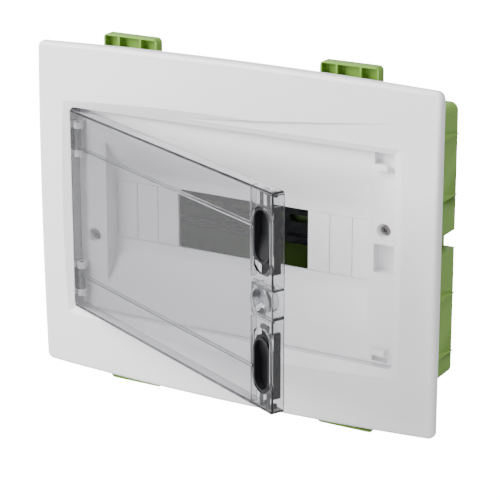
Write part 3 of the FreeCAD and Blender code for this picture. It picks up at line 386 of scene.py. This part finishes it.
def add_cylinder(name, radius, low, high, sides=48):
    """An upright cylinder from low to high, in millimetres."""
    bpy.ops.object.select_all(action="DESELECT")
    bpy.ops.mesh.primitive_cylinder_add(
        vertices=sides, radius=radius * MM, depth=(high - low) * MM, location=(0, 0, (low + high) / 2 * MM))
    piece = bpy.context.object
    piece.name = name
    bpy.ops.object.transform_apply(location=True, rotation=True, scale=True)
    return piece


def add_box(name, x, y, z):
    """A box between low and high on each axis, in millimetres."""
    bpy.ops.object.select_all(action="DESELECT")
    middle = [(a + b) / 2 * MM for a, b in (x, y, z)]
    bpy.ops.mesh.primitive_cube_add(size=1, location=middle)
    piece = bpy.context.object
    piece.name = name
    piece.scale = [(b - a) * MM for a, b in (x, y, z)]
    bpy.ops.object.transform_apply(location=True, rotation=True, scale=True)
    return piece


print("primitives ready, in units of", MM, "m")

# %% [markdown]
# Faces and edges are picked by a test, and a modifier is applied as soon as it is added,
# so every step leaves a plain mesh behind.

# %% Hand tools: selecting and shaping
def pick(piece, kind, wanted):
    """Enters edit mode with only the faces, edges or vertices for which wanted(item) is true."""
    only(piece)
    bpy.ops.object.mode_set(mode="EDIT")
    bpy.ops.mesh.select_mode(type={"faces": "FACE", "edges": "EDGE", "verts": "VERT"}[kind])
    bpy.ops.mesh.select_all(action="DESELECT")
    shape = bmesh.from_edit_mesh(piece.data)
    for item in getattr(shape, kind):
        if wanted(item):
            item.select_set(True)
    shape.select_flush(True)
    bmesh.update_edit_mesh(piece.data)


def done():
    bpy.ops.object.mode_set(mode="OBJECT")


def faces_at(axis, value, reach=0.02):
    """A test for faces whose centre lies at value millimetres on an axis."""
    return lambda face: abs(face.calc_center_median()[axis] - value * MM) < reach * MM


def modify(piece, kind, **settings):
    """Adds a modifier, sets it and applies it."""
    only(piece)
    modifier = piece.modifiers.new(kind.lower(), kind)
    for key, value in settings.items():
        setattr(modifier, key, value)
    bpy.ops.object.modifier_apply(modifier=modifier.name)


def soften(piece, width):
    """Rounds every sharp edge, then lets the flat faces keep flat shading."""
    modify(piece, "BEVEL", width=width * MM, segments=2, limit_method="ANGLE",
           angle_limit=math.radians(SHARP_ANGLE), use_clamp_overlap=False, harden_normals=False)
    smooth(piece)


def smooth(piece, angle=40):
    """Smooth shading up to an angle, weighted so that large faces stay flat."""
    only(piece)
    bpy.ops.object.shade_smooth_by_angle(angle=math.radians(angle))
    modify(piece, "WEIGHTED_NORMAL", keep_sharp=True, weight=60)


print("shaping tools ready, sharp means over", SHARP_ANGLE, "degrees")

# %% [markdown]
# A finished piece may need a hole, a twin or a place of its own. The mesh is moved, never
# the object, so every piece ends at the origin.

# %% Hand tools: joining and placing
def cut_away(piece, tool):
    """Removes a tool's shape from a piece and deletes the tool."""
    modify(piece, "BOOLEAN", object=tool, operation="DIFFERENCE", solver="EXACT")
    bpy.data.objects.remove(tool)


def merge(name, pieces):
    """Joins finished pieces into one mesh."""
    bpy.ops.object.select_all(action="DESELECT")
    for piece in pieces:
        piece.select_set(True)
    bpy.context.view_layer.objects.active = pieces[0]
    bpy.ops.object.join()
    pieces[0].name = name
    return pieces[0]


def copy_of(piece, name):
    """A second piece with its own mesh."""
    twin = piece.copy()
    twin.data = piece.data.copy()
    twin.name = name
    bpy.context.scene.collection.objects.link(twin)
    return twin


def settle(piece, matrix):
    """Moves the mesh itself, so the finished piece stays at the origin."""
    piece.data.transform(matrix)
    if matrix.determinant() < 0:
        piece.data.flip_normals()
    piece.data.update()


def finish_piece(piece, body, finish, slot, *replaced):
    """Gives a piece its finish and its place in the frame."""
    piece.data.materials.clear()
    piece.data.materials.append(FINISHES[finish])
    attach(piece, body)
    if replaced:
        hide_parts(*replaced)


print("placing tools ready")

# %% [markdown]
# ## The exact shells, with softened edges
# The cover, box and door have to keep their exact shape, because other parts fit them. Real
# mouldings are never knife-sharp though. A copy of each exact mesh is merged, and a narrow
# bevel rounds every sharp edge, so each edge catches a thin line of light. The frame has
# its rounded edges already and stays as it is.

# %% Softened shells
def hold_inside(piece, low, high):
    """Brings any corner that a bevel threw past a box back onto it."""
    for vertex in piece.data.vertices:
        for axis in range(3):
            vertex.co[axis] = min(max(vertex.co[axis], low[axis]), high[axis])
    piece.data.update()


def softened_shell(name, node, body, width, tidy=False):
    """A merged copy of an exact mesh with its sharp edges rounded. Tidy joins flat triangles
    into whole faces first, which suits simple shapes."""
    shell = copy_of(nodes[node], name)
    shell.parent = None
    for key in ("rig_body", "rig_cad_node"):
        if key in shell:
            del shell[key]
    only(shell)
    bpy.ops.object.mode_set(mode="EDIT")
    bpy.ops.mesh.select_all(action="SELECT")
    bpy.ops.mesh.remove_doubles(threshold=0.002 * MM)
    bpy.ops.mesh.normals_make_consistent(inside=False)
    if tidy:
        bpy.ops.mesh.dissolve_limited(angle_limit=math.radians(0.06))
    done()
    soften(shell, width)
    hold_inside(shell, *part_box(node))
    slot = [part["material_slot"] for part in frame["record"]["subparts"] if part["node"] == node][0]
    finish_piece(shell, body, slot, slot, node)
    print(name, "faces:", len(shell.data.polygons))
    return shell


softened_shell("cover_moulding", "inner_cover", "box", 0.2)
softened_shell("box_moulding", "back_box", "box", 0.18)
softened_shell("door_moulding", "door_panel", "door", 0.25)
softened_shell("housing_moulding", "lock_housing", "door", 0.2)
softened_shell("upper_latch_moulding", "latch_upper", "upper_latch", 0.12)
softened_shell("lower_latch_moulding", "latch_lower", "lower_latch", 0.12)
for corner in ("top_left", "top_right", "bottom_left", "bottom_right"):
    softened_shell("clamp_moulding_" + corner, "clamp_" + corner, corner + "_clamp", 0.3, tidy=True)

# %% [markdown]
# ## Blanking plates
# A blanking plate is a little tray that snaps into one unused place. Its front is a hair
# crowned and its edges are soft, which is what draws the thin shadow lines between
# neighbours. One plate is a box whose front face is inset and pulled forward; the edges
# are rounded, the back hollowed, and the other five are copies.

# %% Make one plate and copy it
PLATE_NODES = ["blanking_plate_%d" % number for number in range(1, 7)]
first_low, first_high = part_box(PLATE_NODES[0])
plate_size = (first_high - first_low) / MM
half_wide = plate_size.x / 2
half_tall = plate_size.z / 2
PLATE_DEPTH = plate_size.y
PLATE_CROWN = 0.25
LIP_TALL = 2.2
plate = add_box("plate", (-half_wide, half_wide), (PLATE_CROWN, PLATE_DEPTH),
                (-half_tall + LIP_TALL, half_tall - LIP_TALL))
pick(plate, "faces", faces_at(1, PLATE_CROWN))
bpy.ops.mesh.inset(thickness=1.1 * MM, depth=0.0)
bpy.ops.transform.translate(value=(0, -PLATE_CROWN * MM, 0))
done()
pick(plate, "faces", faces_at(1, PLATE_DEPTH))
bpy.ops.mesh.inset(thickness=1.6 * MM, depth=0.0)
bpy.ops.mesh.extrude_region_move(TRANSFORM_OT_translate={"value": (0, -1.9 * MM, 0)})
done()
lip = add_box("plate_lip", (-half_wide, half_wide), (PLATE_DEPTH - 2.0, PLATE_DEPTH), (-half_tall, half_tall))
hollow = add_box("plate_hollow", (-half_wide + 1.6, half_wide - 1.6), (0, PLATE_DEPTH + 1),
                 (-half_tall + 3.8, half_tall - 3.8))
cut_away(lip, hollow)
modify(plate, "BOOLEAN", object=lip, operation="UNION", solver="EXACT")
bpy.data.objects.remove(lip)
soften(plate, 0.28)
for number, node in enumerate(PLATE_NODES, 1):
    low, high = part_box(node)
    twin = copy_of(plate, "plate_%d" % number)
    settle(twin, Matrix.Translation(((low.x + high.x) / 2, low.y, (low.z + high.z) / 2)))
    finish_piece(twin, "box", "white_plastic", "white_plastic", node)
bpy.data.objects.remove(plate)
print("plates:", len(PLATE_NODES), "each", [round(v, 1) for v in plate_size], "mm")

# %% [markdown]
# ## Cross-head screws
# A pan-head screw starts as a short cylinder. Its rim is bevelled into a soft dome, the
# shank is the lower face inset and extruded, and the cross is two tapered bars taken away
# with a Boolean. The cover's and the clamps' screws are copies of it at their own length.
# The rail's screws sit out of sight and keep their exact shape.

# %% Make one screw head and copy it
SHANK_RADIUS = 2
POINT_LENGTH = 2


def cross_screw(name, head_radius, head_depth, length):
    """A screw that looks up Z, with the seat under its head at zero."""
    screw = add_cylinder(name, head_radius, 0, head_depth)
    pick(screw, "edges", lambda edge: all(abs(v.co.z - head_depth * MM) < 0.01 * MM for v in edge.verts))
    bpy.ops.mesh.bevel(offset=head_depth * 0.55 * MM, segments=4, affect="EDGES")
    done()
    pick(screw, "faces", faces_at(2, 0))
    bpy.ops.mesh.inset(thickness=(head_radius - SHANK_RADIUS) * MM, depth=0.0)
    bpy.ops.mesh.extrude_region_move(TRANSFORM_OT_translate={"value": (0, 0, -(length - POINT_LENGTH) * MM)})
    bpy.ops.mesh.extrude_region_move(TRANSFORM_OT_translate={"value": (0, 0, -POINT_LENGTH * MM)})
    bpy.ops.transform.resize(value=(0.3, 0.3, 1))
    done()
    for long, wide in ((head_radius * 0.62, 0.5), (0.5, head_radius * 0.62)):
        bar = add_box("bar", (-long, long), (-wide, wide), (head_depth - 1.5, head_depth + 1))
        pick(bar, "faces", faces_at(2, head_depth - 1.5))
        bpy.ops.transform.resize(value=(0.55, 0.55, 1))
        done()
        cut_away(screw, bar)
    smooth(screw, 35)
    return screw


def place_screws(name, node, body, head_radius, head_depth, turns):
    """Copies of one screw at each separate solid of a node, all looking out of the wall."""
    low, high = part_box(node)
    length = (high.y - low.y) / MM - head_depth
    pattern = cross_screw("pattern", head_radius, head_depth, length)
    spots = loose_middles(nodes[node])
    made = []
    for number, (spot, angle) in enumerate(zip(spots, turns), 1):
        twin = copy_of(pattern, "%s_%d" % (name, number))
        face_out = Matrix.Rotation(math.radians(90), 4, "X") @ Matrix.Rotation(math.radians(angle), 4, "Z")
        settle(twin, Matrix.Translation((spot.x, low.y + head_depth * MM, spot.z)) @ face_out)
        made.append(twin)
    bpy.data.objects.remove(pattern)
    group = merge(name, made)
    finish_piece(group, body, "steel", "steel", node)
    print(name, "at", [[round(v / MM, 1) for v in (s.x, s.z)] for s in spots])
    return group


def loose_middles(node_object):
    """The middle of every separate solid of a node, from its signs across and up."""
    corners = {}
    for vertex in node_object.data.vertices:
        key = (vertex.co.x > 0, vertex.co.z > 0)
        corners.setdefault(key, []).append(vertex.co)
    middles = []
    for group in corners.values():
        low = Vector([min(co[axis] for co in group) for axis in range(3)])
        high = Vector([max(co[axis] for co in group) for axis in range(3)])
        if high.z - low.z > 3 * MM:
            middles.append((low + high) / 2)
    return middles


place_screws("cover_screw_heads", "cover_screws", "box", 3.6, 2.1, (12, 38))
place_screws("clamp_screw_heads", "clamp_screws", "box", 4.0, 2.2, (5, 61, 33, 80))

# %% [markdown]
# ## Lock plug
# A clear plug fills the hole where a lock could go. It is turned, like a lens: a disc with
# a bevelled rim, a shallow cone sunk in its face and a stub behind. All of it is drawn
# with the door shut and then swung open with the door about the hinge.

# %% Make the lock plug
hinge = [joint for joint in frame["joints"] if joint["name"] == "door_hinge"][0]
hinge_place = Vector(hinge["pos_m"])
closed_angle = math.radians(hinge["range_deg"][0])
open_from_closed = (Matrix.Translation(hinge_place)
                    @ Matrix.Rotation(-closed_angle, 4, Vector(hinge["axis"]))
                    @ Matrix.Translation(-hinge_place))
closed_from_open = open_from_closed.inverted()


def closed_box(node):
    """A door node's box as if the door were shut, in millimetres."""
    points = [closed_from_open @ vertex.co for vertex in nodes[node].data.vertices]
    low = [min(p[axis] for p in points) / MM for axis in range(3)]
    high = [max(p[axis] for p in points) / MM for axis in range(3)]
    return Vector(low), Vector(high)


plug_low, plug_high = closed_box("lock_plug")
plug_radius = (plug_high.x - plug_low.x) / 2
plug_depth = plug_high.y - plug_low.y
FLANGE = 1.15
FLANGE_SEAT = 0.05
plug = add_cylinder("plug", plug_radius, -plug_depth, FLANGE_SEAT, sides=64)
pick(plug, "faces", faces_at(2, FLANGE_SEAT))
bpy.ops.mesh.extrude_region_move(TRANSFORM_OT_translate={"value": (0, 0, 0)})
bpy.ops.transform.resize(value=(FLANGE, FLANGE, 1))
bpy.ops.mesh.extrude_region_move(TRANSFORM_OT_translate={"value": (0, 0, 0.6 * MM)})
bpy.ops.mesh.inset(thickness=0.5 * MM, depth=0.0)
bpy.ops.transform.translate(value=(0, 0, 0.2 * MM))
bpy.ops.mesh.inset(thickness=1.1 * MM, depth=0.0)
bpy.ops.mesh.inset(thickness=0.7 * MM, depth=0.0)
bpy.ops.transform.translate(value=(0, 0, -1.1 * MM))
bpy.ops.mesh.inset(thickness=4.4 * MM, depth=0.0)
bpy.ops.transform.translate(value=(0, 0, -3.2 * MM))
done()
pick(plug, "faces", faces_at(2, -plug_depth))
bpy.ops.mesh.inset(thickness=1.4 * MM, depth=0.0)
bpy.ops.mesh.extrude_region_move(TRANSFORM_OT_translate={"value": (0, 0, (plug_depth - 5.6) * MM)})
done()
smooth(plug, 30)
plug_middle = Vector(((plug_low.x + plug_high.x) / 2, plug_low.y, (plug_low.z + plug_high.z) / 2)) * MM
settle(plug, open_from_closed @ Matrix.Translation(plug_middle) @ Matrix.Rotation(math.radians(90), 4, "X"))
finish_piece(plug, "door", "frosted_clear", "clear_plastic", "lock_plug")
print("plug radius", round(plug_radius, 2), "mm")
